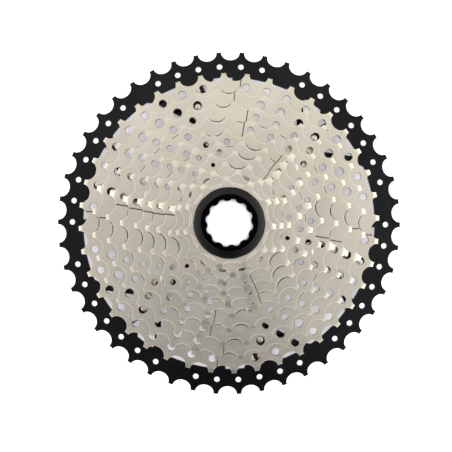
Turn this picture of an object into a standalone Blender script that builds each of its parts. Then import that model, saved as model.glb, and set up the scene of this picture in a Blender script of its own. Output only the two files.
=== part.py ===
"""An eleven-speed bicycle cassette with 11 to 46 teeth, its two riveted carriers and its lock ring.

The axle runs along +Z, which points outboard, away from the wheel. The largest sprocket lies at the bottom,
on the plane z = 0, and the lock ring is on top. The origin is the middle of the bore on that bottom plane.
Directions around the axle are given in degrees clockwise from +Y, as seen from the outboard side.
"""

import math

import bmesh
import bpy
from mathutils import Vector

MM = 0.001

# Chain and sprocket spacing
CHAIN_PITCH = 12.7 * MM
ROLLER_RADIUS = 3.95 * MM
TOOTH_RISE = 0.25 * MM  # how far a tooth's tip stands outside the pitch circle
TIP_WIDTH = 2.4 * MM
SEAT_SWING = 58  # degrees that a roller seat's arc reaches to each side of its lowest point
SPROCKET_SPACING = 3.74 * MM
STEEL_THICKNESS = 1.6 * MM
ALLOY_THICKNESS = 1.8 * MM
FACE_GAP = 0.2 * MM  # clearance kept between faces that touch on the real cassette

# Freehub spline
SPLINE_ROOT_RADIUS = 17.4 * MM
SPLINE_CREST_RADIUS = 15.9 * MM
SPLINE_KEYS = 9
SPLINE_KEY_WIDTH = 4.2 * MM

# The largest sprocket's rim and forked struts
RIM_RADIUS = 79.6 * MM
FORK_RADIUS = 54.9 * MM  # where the two struts of a fork meet
FORK_RIM_ANGLE = 17.8  # degrees from a fork's middle to where its strut meets the rim
STRUT_WIDTH = 3.6 * MM
FORK_PAD_RADIUS = 47.5 * MM
FORK_PAD_WIDTH = 11 * MM

# Carriers
ARM_COUNT = 6
ARM_ANGLE = 46.5
ARM_STEP = 360 / ARM_COUNT
HUB_RADIUS = 22.0 * MM
ARM_ROOT_WIDTH = 15 * MM
ARM_MIDDLE_WIDTH = 13 * MM
ARM_TIP_WIDTH = 8 * MM
LARGE_ARM_REACH = 77.5 * MM
SMALL_ARM_REACH = 52.0 * MM
ARM_PAD_HALF_WIDTH = 4.0 * MM
LARGE_PAD_REACH = (61.0 * MM, 67.6 * MM)  # radii of the pads under the 36-tooth sprocket
SMALL_PAD_REACH = (34.0 * MM, 40.6 * MM)  # radii of the pads under the 24-tooth sprocket
CARRIER_LAP = 0.6 * MM  # how deep joined shapes run into each other before their union
CUTTER_OVERRUN = 1.0 * MM  # how far a cutter stands out of what it cuts

# The riveted sprockets' inner edges. A lug reaches in to each arm: its radius, offset and half angle in degrees
INNER_RADIUS_40 = 68.5 * MM
INNER_RADIUS = {36: 60.0 * MM, 32: 53.7 * MM, 28: 44.5 * MM, 24: 39.4 * MM}
LUGS = {36: (56.5 * MM, 0, 5.5), 32: (46.2 * MM, 0, 9), 28: (41.8 * MM, 3, 7), 24: (34.2 * MM, 2, 9)}
LUG_CORNER_ANGLE = 1.5  # degrees by which a lug is narrower at its inner end

# The windows between the spokes of two loose sprockets
SPOKES = 6
WINDOW_21 = (24.5 * MM, 32.5 * MM)
WINDOW_21_ANGLES = (13.5, 55.5)
WINDOW_18 = (22.0 * MM, 27.0 * MM)
WINDOW_18_ANGLES = (42, 86)

# Rivets
RIVET_HEAD_RADIUS = 2.1 * MM
RIVET_HEAD_HEIGHT = 0.6 * MM
RIVET_SHANK_RADIUS = 1.6 * MM
RIVET_CLEARANCE = 0.2 * MM
RIVET_SIDES = 8

# Spacers, washer and lock ring
SPACER_RADIUS = 20.6 * MM
SPACER_BORE_RADIUS = 17.6 * MM
COLLAR_RADIUS = 19.6 * MM
COLLAR_BORE_RADIUS = 17.9 * MM
WASHER_THICKNESS = 0.6 * MM
WASHER_RADIUS = 17.0 * MM
WASHER_BORE_RADIUS = 15.7 * MM
LOCK_RING_RADIUS = 17.4 * MM
LOCK_RING_FLANGE = 2.6 * MM
LOCK_RING_EDGE = 0.5 * MM
LOCK_RING_THREAD_RADIUS = 15.3 * MM
LOCK_RING_THREAD_LENGTH = 7.5 * MM
LOCK_RING_RECESS_RADIUS = 13.8 * MM
LOCK_RING_RECESS_DEPTH = 1.6 * MM
LOCK_RING_CREST_RADIUS = 10.7 * MM
LOCK_RING_NOTCH_RADIUS = 11.7 * MM
LOCK_RING_NOTCHES = 12
LOCK_RING_FIRST_NOTCH = 10  # degrees
NOTCH_HALF_ANGLE = 6
CREST_HALF_ANGLE = 6.7
CREST_CLEARANCE = 0.3 * MM  # the tool's outline stays this far inside the ring's bore between notches

ROUND_STEPS = 40  # points on a full circle of a turned or bored shape


class Sprocket:
    """One sprocket: its teeth, where its first tooth is, and its place in the stack from the bottom."""

    def __init__(self, teeth, first_tooth, place):
        self.teeth = teeth
        self.first_tooth = first_tooth
        self.name = f"sprocket_{teeth}t"
        self.thickness = STEEL_THICKNESS if place else ALLOY_THICKNESS
        self.middle = ALLOY_THICKNESS / 2 + place * SPROCKET_SPACING
        self.bottom = self.middle - self.thickness / 2
        self.top = self.middle + self.thickness / 2
        self.pitch_radius = CHAIN_PITCH / 2 / math.sin(math.pi / teeth)


FIRST_TEETH = {
    46: 4.4,
    40: 7,
    36: 5,
    32: 14.2,
    28: 13,
    24: 13.5,
    21: 9.2,
    18: 4.5,
    15: 20,
    13: 10,
    11: 29.3,
}
SPROCKETS = {
    teeth: Sprocket(teeth, angle, place) for place, (teeth, angle) in enumerate(FIRST_TEETH.items())
}

# Each riveted sprocket: its rivets' radius, and their offset in degrees from the middle of an arm.
RIVET_CIRCLES = {
    46: (52.0 * MM, 0),
    40: (73.7 * MM, 0),
    36: (64.4 * MM, -1.5),
    32: (49.2 * MM, 0),
    28: (44.6 * MM, 3),
    24: (37.2 * MM, 1),
}


def point(radius, clock_angle, sideways=0.0):
    """A point out along the ray at clock_angle, and then sideways to that ray, clockwise."""
    angle = math.radians(clock_angle)
    outwards = Vector((math.sin(angle), math.cos(angle)))
    clockwise = Vector((math.cos(angle), -math.sin(angle)))
    return outwards * radius + clockwise * sideways


def arc(radius, start, end, steps):
    """Points at one radius from the axle, from the angle start to the angle end, both included."""
    return [point(radius, start + (end - start) * i / steps) for i in range(steps + 1)]


def circle(radius, steps=ROUND_STEPS, centre=(0.0, 0.0)):
    return [Vector(centre) + point(radius, 360 * i / steps) for i in range(steps)]


def toothed_outline(sprocket):
    """A sprocket's outer edge: a flat-topped tooth and a round roller seat, once for each tooth."""
    step = 360 / sprocket.teeth
    outline = []
    for tooth in range(sprocket.teeth):
        tooth_angle = sprocket.first_tooth + tooth * step
        tip_radius = sprocket.pitch_radius + TOOTH_RISE
        outline += [point(tip_radius, tooth_angle, side * TIP_WIDTH / 2) for side in (-1, 1)]
        for swing in (-SEAT_SWING, 0, SEAT_SWING):
            depth = ROLLER_RADIUS * math.cos(math.radians(swing))
            sideways = ROLLER_RADIUS * math.sin(math.radians(swing))
            outline.append(point(sprocket.pitch_radius - depth, tooth_angle + step / 2, sideways))
    return outline


def splined_bore():
    """The bore that slides on the freehub: a circle with keys that stand inwards from it."""
    half_key = math.degrees(SPLINE_KEY_WIDTH / 2 / SPLINE_ROOT_RADIUS)
    step = 360 / SPLINE_KEYS
    outline = []
    for key in range(SPLINE_KEYS):
        key_angle = key * step
        outline += [point(SPLINE_CREST_RADIUS, key_angle, side * SPLINE_KEY_WIDTH / 2) for side in (-1, 1)]
        outline += arc(SPLINE_ROOT_RADIUS, key_angle + half_key, key_angle + step - half_key, 2)
    return outline


def lugged_opening(teeth):
    """A riveted sprocket's inner edge: a circle with a lug that reaches inwards at each arm."""
    radius = INNER_RADIUS[teeth]
    lug_radius, lug_offset, lug_half_angle = LUGS[teeth]
    end_half_angle = lug_half_angle - LUG_CORNER_ANGLE
    outline = []
    for arm in range(ARM_COUNT):
        lug = ARM_ANGLE + arm * ARM_STEP + lug_offset
        outline += arc(lug_radius, lug - end_half_angle, lug + end_half_angle, 2)
        outline += arc(radius, lug + lug_half_angle, lug + ARM_STEP - lug_half_angle, 5)
    return outline


def forked_opening():
    """The largest sprocket's inner edge, which runs around the outside of each fork and its pad."""
    rim_half_angle = FORK_RIM_ANGLE + math.degrees(STRUT_WIDTH / RIM_RADIUS) / 2
    pad_corner = FORK_PAD_WIDTH / 2
    outline = []
    for arm in range(ARM_COUNT):
        fork = ARM_ANGLE + arm * ARM_STEP
        outline += [
            point(FORK_RADIUS + STRUT_WIDTH / 2, fork, -pad_corner),
            point(FORK_PAD_RADIUS + pad_corner / 2, fork, -pad_corner),
            point(FORK_PAD_RADIUS, fork, -pad_corner / 2),
            point(FORK_PAD_RADIUS, fork, pad_corner / 2),
            point(FORK_PAD_RADIUS + pad_corner / 2, fork, pad_corner),
            point(FORK_RADIUS + STRUT_WIDTH / 2, fork, pad_corner),
        ]
        outline += arc(RIM_RADIUS, fork + rim_half_angle, fork + ARM_STEP - rim_half_angle, 4)
    return outline


def fork_window(arm):
    """The open triangle between a fork's two struts and the rim."""
    fork = ARM_ANGLE + arm * ARM_STEP
    half_angle = FORK_RIM_ANGLE - math.degrees(STRUT_WIDTH / RIM_RADIUS) / 2
    apex = point(FORK_RADIUS + STRUT_WIDTH, fork)
    return [apex] + arc(RIM_RADIUS, fork - half_angle, fork + half_angle, 4)


def rivet_places(teeth):
    """The middle of each of a sprocket's rivets, in the plane of the sprocket."""
    radius, offset = RIVET_CIRCLES[teeth]
    return [point(radius, ARM_ANGLE + arm * ARM_STEP + offset) for arm in range(ARM_COUNT)]


def rivet_holes(teeth):
    radius = RIVET_SHANK_RADIUS + RIVET_CLEARANCE
    return [circle(radius, RIVET_SIDES, place) for place in rivet_places(teeth)]


def carrier_outline(reach, steps_between=3):
    """Six tapering arms that grow from a round hub."""
    half_root = math.degrees(ARM_ROOT_WIDTH / 2 / HUB_RADIUS)
    middle_radius = (HUB_RADIUS + reach) / 2
    outline = []
    for arm in range(ARM_COUNT):
        angle = ARM_ANGLE + arm * ARM_STEP
        outline += arc(HUB_RADIUS, angle - ARM_STEP + half_root, angle - half_root, steps_between)
        outline += [
            point(middle_radius, angle, -ARM_MIDDLE_WIDTH / 2),
            point(reach - ARM_TIP_WIDTH / 2, angle, -ARM_TIP_WIDTH / 2),
            point(reach, angle, -ARM_TIP_WIDTH / 4),
            point(reach, angle, ARM_TIP_WIDTH / 4),
            point(reach - ARM_TIP_WIDTH / 2, angle, ARM_TIP_WIDTH / 2),
            point(middle_radius, angle, ARM_MIDDLE_WIDTH / 2),
        ]
    return outline


def windows(radii, angles):
    """A cut-out between each two spokes. The first one lies between the given radii and angles."""
    (inner, outer), (start, end) = radii, angles
    turns = [spoke * 360 / SPOKES for spoke in range(SPOKES)]
    return [
        arc(outer, start + turn, end + turn, 4) + arc(inner, end + turn, start + turn, 2) for turn in turns
    ]


def make_material(name, colour, metallic, roughness):
    material = bpy.data.materials.new(name)
    material.use_nodes = True
    shader = material.node_tree.nodes["Principled BSDF"]
    shader.inputs["Base Color"].default_value = (*colour, 1.0)
    shader.inputs["Metallic"].default_value = metallic
    shader.inputs["Roughness"].default_value = roughness
    return material


def make_object(name, mesh, collection, material=None):
    made = bpy.data.objects.new(name, mesh)
    collection.objects.link(made)
    if material:
        mesh.materials.append(material)
    return made


def weld(mesh):
    """Joins the caps of a filled curve to its sides."""
    shape = bmesh.new()
    shape.from_mesh(mesh)
    bmesh.ops.remove_doubles(shape, verts=shape.verts, dist=0.001 * MM)
    bmesh.ops.recalc_face_normals(shape, faces=shape.faces)
    shape.to_mesh(mesh)
    shape.free()


def make_plate(name, outlines, bottom, top, collection, material=None):
    """A flat plate between two heights. The first outline is its edge, and each other one is a hole."""
    drawing = bpy.data.curves.new(name + "_outline", "CURVE")
    drawing.dimensions = "2D"
    drawing.fill_mode = "BOTH"
    drawing.extrude = (top - bottom) / 2
    for outline in outlines:
        spline = drawing.splines.new("POLY")
        spline.points.add(len(outline) - 1)
        for corner, place in zip(spline.points, outline):
            corner.co = (place.x, place.y, 0, 1)
        spline.use_cyclic_u = True
    drawn = bpy.data.objects.new(name + "_outline", drawing)
    collection.objects.link(drawn)
    drawn.location.z = (top + bottom) / 2
    bpy.context.view_layer.update()
    mesh = bpy.data.meshes.new_from_object(drawn.evaluated_get(bpy.context.evaluated_depsgraph_get()))
    mesh.name = name
    weld(mesh)
    plate = make_object(name, mesh, collection, material)
    plate.matrix_world = drawn.matrix_world
    bpy.data.objects.remove(drawn)
    return plate


def make_turned(name, profile, steps, collection, material=None):
    """A solid turned about the axle from a closed (radius, height) profile, outer side top to bottom."""
    mesh = bpy.data.meshes.new(name)
    shape = bmesh.new()
    corners = [shape.verts.new((radius, 0, height)) for radius, height in profile]
    for first, second in zip(corners, corners[1:] + corners[:1]):
        shape.edges.new((first, second))
    shape.to_mesh(mesh)
    shape.free()
    turned = make_object(name, mesh, collection, material)
    screw = turned.modifiers.new("turn", "SCREW")
    screw.axis = "Z"
    screw.steps = screw.render_steps = steps
    screw.use_merge_vertices = True
    screw.merge_threshold = 0.0001 * MM
    return turned


def add_boolean(target, operation, other):
    boolean = target.modifiers.new(other.name, "BOOLEAN")
    boolean.operation = operation
    boolean.object = other


def hide_helper(helper):
    helper.hide_render = True
    helper.display_type = "WIRE"


def ring_profile(bore, radius, bottom, top):
    return [(radius, top), (radius, bottom), (bore, bottom), (bore, top)]


def make_rivet(name, mesh, place, head_base, head_up, collection):
    """A rivet on its own spot. Its head stands up from head_base, or hangs down from it."""
    rivet = bpy.data.objects.new(name, mesh)
    collection.objects.link(rivet)
    rivet.location = (place.x, place.y, head_base)
    if not head_up:
        rivet.rotation_euler.x = math.pi
    return rivet


def rivet_mesh(name, shank_length, material):
    """A flat-headed rivet along Z, with its head's underside at z = 0."""
    mesh = bpy.data.meshes.new(name)
    shape = bmesh.new()
    rings = (
        (RIVET_HEAD_RADIUS, RIVET_HEAD_HEIGHT),
        (RIVET_HEAD_RADIUS, 0),
        (RIVET_SHANK_RADIUS, 0),
        (RIVET_SHANK_RADIUS, -shank_length),
    )
    loops = []
    for radius, height in rings:
        loops.append([shape.verts.new((*place, height)) for place in circle(radius, RIVET_SIDES)])
    for loop in (loops[0], loops[-1]):
        shape.faces.new(loop)
    for upper, lower in zip(loops, loops[1:]):
        for i in range(RIVET_SIDES):
            following = (i + 1) % RIVET_SIDES
            shape.faces.new((upper[i], upper[following], lower[following], lower[i]))
    bmesh.ops.recalc_face_normals(shape, faces=shape.faces)
    shape.to_mesh(mesh)
    shape.free()
    mesh.materials.append(material)
    return mesh


def make_rivets(teeth, head_face, tail_face, collection, material):
    """Six rivets for one sprocket, each with its head on head_face and its shank ending near tail_face."""
    head_up = head_face > tail_face
    direction = 1 if head_up else -1
    head_base = head_face + direction * FACE_GAP / 2
    shank_length = abs(head_base - tail_face) - FACE_GAP / 2
    mesh = rivet_mesh(f"rivet_{teeth}t", shank_length, material)
    for number, place in enumerate(rivet_places(teeth), start=1):
        make_rivet(f"rivet_{teeth}t_{number}", mesh, place, head_base, head_up, collection)


def make_riveted_sprocket(teeth, openings, collection, material):
    sprocket = SPROCKETS[teeth]
    outlines = [toothed_outline(sprocket), *openings, *rivet_holes(teeth)]
    return make_plate(sprocket.name, outlines, sprocket.bottom, sprocket.top, collection, material)


def make_loose_sprocket(teeth, openings, collection, material):
    sprocket = SPROCKETS[teeth]
    outlines = [toothed_outline(sprocket), splined_bore(), *openings]
    return make_plate(sprocket.name, outlines, sprocket.bottom, sprocket.top, collection, material)


def make_collared_sprocket(teeth, lower_teeth, collection, cutters, material):
    """A small sprocket whose own collar keeps it off the sprocket beneath it."""
    sprocket = SPROCKETS[teeth]
    made = make_loose_sprocket(teeth, [], collection, material)
    collar_bottom = SPROCKETS[lower_teeth].top + FACE_GAP
    collar_top = sprocket.bottom + CARRIER_LAP
    collar = make_turned(
        f"{sprocket.name}_collar",
        ring_profile(COLLAR_BORE_RADIUS, COLLAR_RADIUS, collar_bottom, collar_top),
        ROUND_STEPS,
        cutters,
    )
    hide_helper(collar)
    add_boolean(made, "UNION", collar)
    return made


def arm_pads(name, teeth, reach, bottom, top, cutters):
    """Blocks on a carrier's arms that lift one sprocket to its place in the stack, as one helper."""
    inner, outer = reach
    half_width = ARM_PAD_HALF_WIDTH
    shape = bmesh.new()
    offset = RIVET_CIRCLES[teeth][1]
    for arm in range(ARM_COUNT):
        angle = ARM_ANGLE + arm * ARM_STEP + offset
        corners = (
            point(inner, angle, -half_width),
            point(inner, angle, half_width),
            point(outer, angle, half_width),
            point(outer, angle, -half_width),
        )
        add_prism(shape, corners, bottom, top)
    return helper_from(shape, name, cutters)


def hole_cutters(name, teeth_list, bottom, top, cutters):
    """One helper that holds a cylinder for each rivet of the given sprockets."""
    shape = bmesh.new()
    for teeth in teeth_list:
        for hole in rivet_holes(teeth):
            add_prism(shape, hole, bottom, top)
    return helper_from(shape, name, cutters)


def add_prism(shape, corners, bottom, top):
    floor = shape.faces.new([shape.verts.new((corner.x, corner.y, bottom)) for corner in corners])
    raised = bmesh.ops.extrude_face_region(shape, geom=[floor])
    moved = [item for item in raised["geom"] if isinstance(item, bmesh.types.BMVert)]
    bmesh.ops.translate(shape, verts=moved, vec=(0, 0, top - bottom))


def helper_from(shape, name, cutters):
    bmesh.ops.recalc_face_normals(shape, faces=shape.faces)
    mesh = bpy.data.meshes.new(name)
    shape.to_mesh(mesh)
    shape.free()
    helper = make_object(name, mesh, cutters)
    hide_helper(helper)
    return helper


def make_carrier(name, reach, arm_heights, hub_heights, pads, holes, collection, cutters, material):
    """A splined hub with six arms. The arms' plate starts inside the hub's wall, so they join cleanly."""
    hub_outlines = [circle(HUB_RADIUS), splined_bore()]
    carrier = make_plate(name, hub_outlines, *hub_heights, collection, material)
    buried = (SPLINE_ROOT_RADIUS + HUB_RADIUS) / 2
    arm_outlines = [carrier_outline(reach), circle(buried, ROUND_STEPS // 2)]
    arms = make_plate(f"{name}_arms", arm_outlines, *arm_heights, cutters)
    hide_helper(arms)
    add_boolean(carrier, "UNION", arms)
    add_boolean(carrier, "UNION", pads)
    add_boolean(carrier, "DIFFERENCE", holes)
    return carrier


def make_large_cluster(collection, cutters, black, steel, red, bright):
    """The three largest sprockets on their carrier."""
    lower, middle, upper = SPROCKETS[46], SPROCKETS[40], SPROCKETS[36]
    arm_bottom = lower.top + FACE_GAP
    arm_top = middle.bottom - FACE_GAP
    pad_top = upper.bottom - FACE_GAP
    hub_top = SPROCKETS[32].bottom - FACE_GAP
    openings = [forked_opening()] + [fork_window(arm) for arm in range(ARM_COUNT)]
    make_riveted_sprocket(46, openings, collection, black)
    make_riveted_sprocket(40, [circle(INNER_RADIUS_40)], collection, steel)
    make_riveted_sprocket(36, [lugged_opening(36)], collection, steel)
    pads = arm_pads("carrier_large_pads", 36, LARGE_PAD_REACH, arm_top - CARRIER_LAP, pad_top, cutters)
    holes = hole_cutters(
        "carrier_large_holes", (46, 40, 36), arm_bottom - CUTTER_OVERRUN, pad_top + CUTTER_OVERRUN, cutters
    )
    make_carrier(
        "carrier_large",
        LARGE_ARM_REACH,
        (arm_bottom, arm_top),
        (lower.bottom, hub_top),
        pads,
        holes,
        collection,
        cutters,
        red,
    )
    make_rivets(46, arm_top, lower.bottom, collection, bright)
    make_rivets(40, middle.top, arm_bottom, collection, bright)
    make_rivets(36, upper.top, arm_bottom, collection, bright)


def make_small_cluster(collection, cutters, steel, red, bright):
    """The three middle sprockets on their carrier."""
    lower, middle, upper = SPROCKETS[32], SPROCKETS[28], SPROCKETS[24]
    arm_bottom = lower.top + FACE_GAP
    arm_top = middle.bottom - FACE_GAP
    pad_top = upper.bottom - FACE_GAP
    hub_top = upper.top - FACE_GAP
    for teeth in (32, 28, 24):
        make_riveted_sprocket(teeth, [lugged_opening(teeth)], collection, steel)
    pads = arm_pads("carrier_small_pads", 24, SMALL_PAD_REACH, arm_top - CARRIER_LAP, pad_top, cutters)
    holes = hole_cutters(
        "carrier_small_holes", (32, 28, 24), arm_bottom - CUTTER_OVERRUN, pad_top + CUTTER_OVERRUN, cutters
    )
    make_carrier(
        "carrier_small",
        SMALL_ARM_REACH,
        (arm_bottom, arm_top),
        (lower.bottom, hub_top),
        pads,
        holes,
        collection,
        cutters,
        red,
    )
    make_rivets(32, lower.bottom, arm_top, collection, bright)
    make_rivets(28, middle.top, arm_bottom, collection, bright)
    make_rivets(24, upper.top, arm_bottom, collection, bright)


def make_spacer(lower_face, upper_face, name, collection, material):
    profile = ring_profile(SPACER_BORE_RADIUS, SPACER_RADIUS, lower_face + FACE_GAP, upper_face - FACE_GAP)
    make_turned(name, profile, ROUND_STEPS, collection, material)


def make_loose_stack(collection, cutters, steel, red):
    """The five smallest sprockets, with spacer rings between those that have no collar."""
    make_loose_sprocket(21, windows(WINDOW_21, WINDOW_21_ANGLES), collection, steel)
    make_loose_sprocket(18, windows(WINDOW_18, WINDOW_18_ANGLES), collection, steel)
    make_loose_sprocket(15, [], collection, steel)
    make_collared_sprocket(13, 15, collection, cutters, steel)
    make_collared_sprocket(11, 13, collection, cutters, steel)
    hub_top = SPROCKETS[24].top - FACE_GAP
    make_spacer(hub_top, SPROCKETS[21].bottom, "spacer_24_21", collection, red)
    make_spacer(SPROCKETS[21].top, SPROCKETS[18].bottom, "spacer_21_18", collection, red)
    make_spacer(SPROCKETS[18].top, SPROCKETS[15].bottom, "spacer_18_15", collection, red)


def make_lock_ring(collection, cutters, black, bright):
    """The lock ring and the thin washer under its flange."""
    washer_bottom = SPROCKETS[11].top + FACE_GAP
    washer_top = washer_bottom + WASHER_THICKNESS
    washer = ring_profile(WASHER_BORE_RADIUS, WASHER_RADIUS, washer_bottom, washer_top)
    make_turned("lock_ring_washer", washer, ROUND_STEPS, collection, bright)
    flange_bottom = washer_top + FACE_GAP
    flange_top = flange_bottom + LOCK_RING_FLANGE
    thread_bottom = flange_bottom - LOCK_RING_THREAD_LENGTH
    recess_floor = flange_top - LOCK_RING_RECESS_DEPTH
    profile = [
        (LOCK_RING_RECESS_RADIUS, flange_top),
        (LOCK_RING_RADIUS - LOCK_RING_EDGE, flange_top),
        (LOCK_RING_RADIUS, flange_top - LOCK_RING_EDGE),
        (LOCK_RING_RADIUS, flange_bottom),
        (LOCK_RING_THREAD_RADIUS, flange_bottom),
        (LOCK_RING_THREAD_RADIUS, thread_bottom),
        (LOCK_RING_CREST_RADIUS, thread_bottom),
        (LOCK_RING_CREST_RADIUS, recess_floor),
        (LOCK_RING_RECESS_RADIUS, recess_floor),
    ]
    lock_ring = make_turned("lock_ring", profile, ROUND_STEPS, collection, black)
    socket = tool_socket(thread_bottom - CUTTER_OVERRUN, flange_top, cutters)
    add_boolean(lock_ring, "DIFFERENCE", socket)


def tool_socket(bottom, top, cutters):
    """A cutter in the outline of the tool that turns the lock ring."""
    step = 360 / LOCK_RING_NOTCHES
    inner = LOCK_RING_CREST_RADIUS - CREST_CLEARANCE
    outline = []
    for notch in range(LOCK_RING_NOTCHES):
        angle = LOCK_RING_FIRST_NOTCH + notch * step
        crest = angle + step / 2
        outline += arc(LOCK_RING_NOTCH_RADIUS, angle - NOTCH_HALF_ANGLE, angle + NOTCH_HALF_ANGLE, 1)
        outline += arc(inner, crest - CREST_HALF_ANGLE, crest + CREST_HALF_ANGLE, 1)
    shape = bmesh.new()
    add_prism(shape, outline, bottom, top)
    return helper_from(shape, "lock_ring_tool_socket", cutters)


def shade_round_parts(collection):
    for made in collection.objects:
        made.data.shade_smooth()
        made.data.set_sharp_from_angle(angle=math.radians(30))


def main():
    for old in list(bpy.data.objects):
        bpy.data.objects.remove(old)
    scene_collection = bpy.context.scene.collection
    collection = bpy.data.collections.new("bicycle_cassette")
    cutters = bpy.data.collections.new("cassette_cutters")
    scene_collection.children.link(collection)
    scene_collection.children.link(cutters)
    black = make_material("black_anodised_aluminium", (0.018, 0.018, 0.021), 0.6, 0.4)
    steel = make_material("nickel_plated_steel", (0.62, 0.59, 0.53), 1.0, 0.32)
    red = make_material("dark_red_anodised_aluminium", (0.10, 0.012, 0.010), 0.8, 0.38)
    bright = make_material("bright_steel", (0.60, 0.58, 0.54), 1.0, 0.28)
    make_large_cluster(collection, cutters, black, steel, red, bright)
    make_small_cluster(collection, cutters, steel, red, bright)
    make_loose_stack(collection, cutters, steel, red)
    make_lock_ring(collection, cutters, black, bright)
    shade_round_parts(collection)


main()
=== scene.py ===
"""The looks of an eleven-speed bicycle cassette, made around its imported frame.

The axle runs along +Z with the lock ring on top, and the largest sprocket lies on the floor at z = 0.
Directions around the axle are degrees clockwise from +Y, as seen from above.
"""

import math

import bmesh
import bpy
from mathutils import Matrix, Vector


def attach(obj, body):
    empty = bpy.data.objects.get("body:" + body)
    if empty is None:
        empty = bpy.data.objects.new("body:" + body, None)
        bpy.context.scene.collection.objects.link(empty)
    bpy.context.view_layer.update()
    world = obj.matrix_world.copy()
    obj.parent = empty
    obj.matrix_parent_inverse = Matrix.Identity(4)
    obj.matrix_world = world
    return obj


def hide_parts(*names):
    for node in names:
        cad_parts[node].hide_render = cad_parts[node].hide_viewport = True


MM = 0.001

# Teeth
CHAIN_PITCH = 12.7 * MM
SEAT_HALF_WIDTH = 5.05 * MM
SEAT_DEPTH = 4.1 * MM
SEAT_SWING = math.radians(76)
SEAT_POINTS = 13
TIP_WIDTH = 2.6 * MM
TIP_RISE = 0.25 * MM
TIP_BEVEL = (2.0 * MM, 0.45 * MM)  # how far in from the tip the bevel starts, and how deep it gets
CLEAR = 0.02 * MM  # how far a cutter's edge stands off a face, so that they never share a plane
EDGE_CHAMFER = 0.16 * MM
HOLE_POINTS = 20
SHARP_ANGLE = math.radians(28)
GRAIN = 0.16

# The stack of sprockets
SPACING = 3.74 * MM
STEEL_THICKNESS = 1.6 * MM
ALLOY_THICKNESS = 1.8 * MM
FACE_GAP = 0.2 * MM

# Shift ramps on the outboard faces
RELIEF_SWELL = 1.1 * MM  # how far a relief reaches outside the next sprocket's outline
RELIEF_DEPTH = 0.4 * MM
RELIEF_SLOPE = 0.5 * MM
RAMP_DEPTH = 0.6 * MM
RAMP_LENGTH = 0.75 * MM
RELIEF_INSET = 6.5 * MM  # how far in from the next sprocket's pitch circle a relief ends

# Freehub spline
SPLINE_ROOT_RADIUS = 17.4 * MM
SPLINE_CREST_RADIUS = 15.9 * MM
SPLINE_KEYS = 9
SPLINE_KEY_WIDTH = 4.2 * MM

# The largest sprocket's rim and forks
RIM_RADIUS = 79.6 * MM
FORK_RADIUS = 54.9 * MM
FORK_RIM_ANGLE = 17.8
STRUT_WIDTH = 3.6 * MM
FORK_PAD_RADIUS = 47.5 * MM
FORK_PAD_WIDTH = 11 * MM
FILLET_START = 0.86  # how far along a strut its fillet starts
FILLET_ANGLE = 1.6
RIM_TAB_RADIUS = 76.4 * MM
RIM_TAB_ANGLE = 6

# Carriers
ARM_COUNT = 6
ARM_ANGLE = 46.5
ARM_STEP = 360 / ARM_COUNT
HUB_RADIUS = 22.0 * MM
ARM_ROOT_WIDTH = 15 * MM
ARM_MIDDLE_WIDTH = 13 * MM
ARM_TIP_WIDTH = 8 * MM
ARM_THICKNESS = 1.7 * MM
LARGE_ARM_REACH = 77.5 * MM
SMALL_ARM_REACH = 52.0 * MM
LARGE_PAD_INNER_RADIUS = 61 * MM
SMALL_PAD_INNER_RADIUS = 34 * MM
HUB_CHAMFER = 0.4 * MM
ARM_CHAMFER = 0.2 * MM
ARM_PAD = (8.0 * MM, 6.6 * MM)  # along the circle, and outwards
ARM_LAP = 0.6 * MM  # how deep joined shapes run into each other before their union

# Lock ring
WASHER = (15.7 * MM, 17.0 * MM, 0.6 * MM)  # bore, radius, thickness
LOCK_RING_RADIUS = 17.4 * MM
LOCK_RING_EDGE = 0.5 * MM
LOCK_RING_LIP = 0.2 * MM
LOCK_RING_FOOT_BEVEL = 0.3 * MM
LOCK_RING_BLANK_RADIUS = 9.7 * MM  # the bore before its notched opening is cut
LOCK_RING_FALL = 0.45 * MM  # how far the flange's conical face falls from the recess to the edge
LOCK_RING_RECESS_RADIUS = 13.8 * MM
LOCK_RING_RECESS_DEPTH = 1.6 * MM
LOCK_RING_FLANGE = 2.6 * MM
LOCK_RING_CREST_RADIUS = 10.7 * MM
LOCK_RING_NOTCH_RADIUS = 11.7 * MM
LOCK_RING_NOTCHES = 12
LOCK_RING_FIRST_NOTCH = 10
THREAD_RADIUS = 15.3 * MM
THREAD_LENGTH = 7.5 * MM
THREAD_PITCH = 1.058 * MM
THREAD_DEPTH = 0.55 * MM
THREAD_END = 0.4 * MM  # the plain length at each end of the thread
THREAD_POINTS = 8  # to each turn of the thread
KNURL_COUNT = 96
KNURL_DEPTH = 0.28 * MM

# Camera: straight above the axle
CAMERA_HEIGHT = 351 * MM
CAMERA_ASIDE = (-1.6 * MM, -1.5 * MM)
CAMERA_LENS = 51
SENSOR_WIDTH = 36

# The studio
FLOOR_HALF_WIDTH = 3.0
FLOOR_DEPTH = 1 * MM
GLOW_SCALE = 200 * MM  # the radius at which the floor's glow ramp ends
KEY_LIGHT_PLACE = (-0.04, 0.34, 0.75)
KEY_LIGHT_SIZE = 0.5
KEY_LIGHT_WATTS = 0.18
SKY_LEAN = (0.18, 0.98)  # how much the sky's brightness follows x and y
SIDE_GLOW = (1.9, 1.88, 1.80)

# Spacers and the collars of the two smallest sprockets
SPACER = (17.6 * MM, 20.6 * MM)  # bore, radius
COLLAR = (17.9 * MM, 19.6 * MM)
COLLAR_LAP = 0.6 * MM
RING_STEPS = 144

# Rivets
RIVET_HEAD_RADIUS = 2.1 * MM
RIVET_HEAD_HEIGHT = 0.6 * MM
RIVET_SHANK_RADIUS = 1.6 * MM
RIVET_CLEARANCE = 0.2 * MM
RIVET_STEPS = 24
SUNK_HEAD = (1.5 * MM, 0.4 * MM)  # radius, height
SUNK_DEPTH = 0.9 * MM
FLUSH_HEAD = (RIVET_SHANK_RADIUS, 0.4 * MM)

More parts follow.
